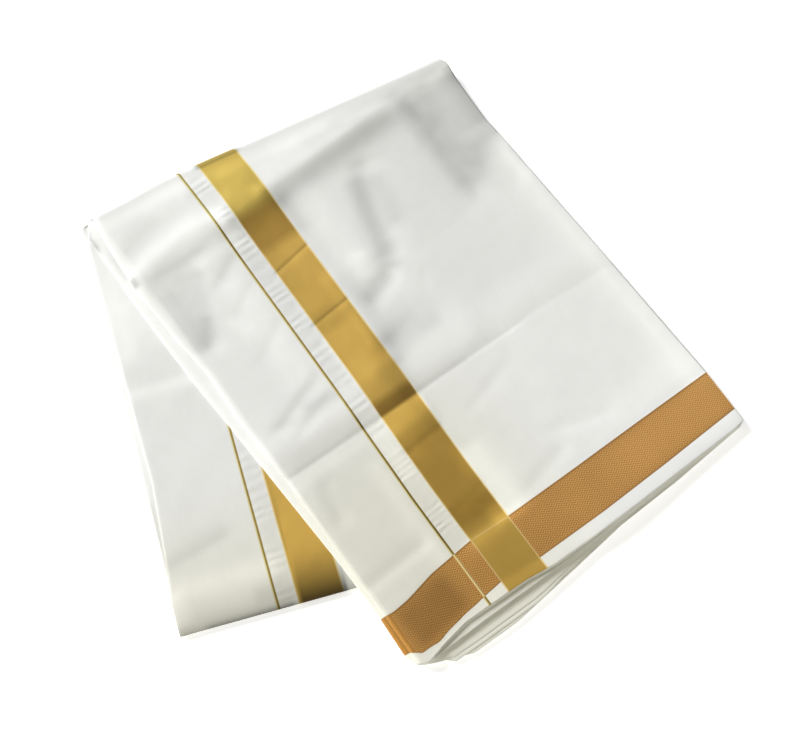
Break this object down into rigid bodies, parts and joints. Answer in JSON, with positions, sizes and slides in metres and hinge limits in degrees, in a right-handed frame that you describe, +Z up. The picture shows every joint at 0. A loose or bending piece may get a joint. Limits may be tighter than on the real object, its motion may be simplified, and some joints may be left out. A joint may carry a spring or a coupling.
{
  "type": "folded dhoti cloth",
  "caption": "White cotton dhoti cloth with woven gold borders, folded lengthwise and across into a flat stack that lies on a surface.",
  "frame": {"origin": "middle of the whole's box, on the surface it lies on", "axes": "+Z up from the surface; the upper leaf runs from its cross fold towards +X and -Y, the lower leaf mostly towards -Y"},
  "size_m": [0.5431, 0.5145, 0.0178],
  "materials": {
    "woven_cotton": "plain woven white cotton, softly calendered, with metallic gold borders woven in",
    "folded_edges": "cream-white folded edges of the same cotton"
  },
  "bodies": {
    "root": {"upper_leaf_sheet": "woven_cotton", "lower_leaf_sheet": "woven_cotton", "hidden_layers": "folded_edges"}
  },
  "joints": []
}
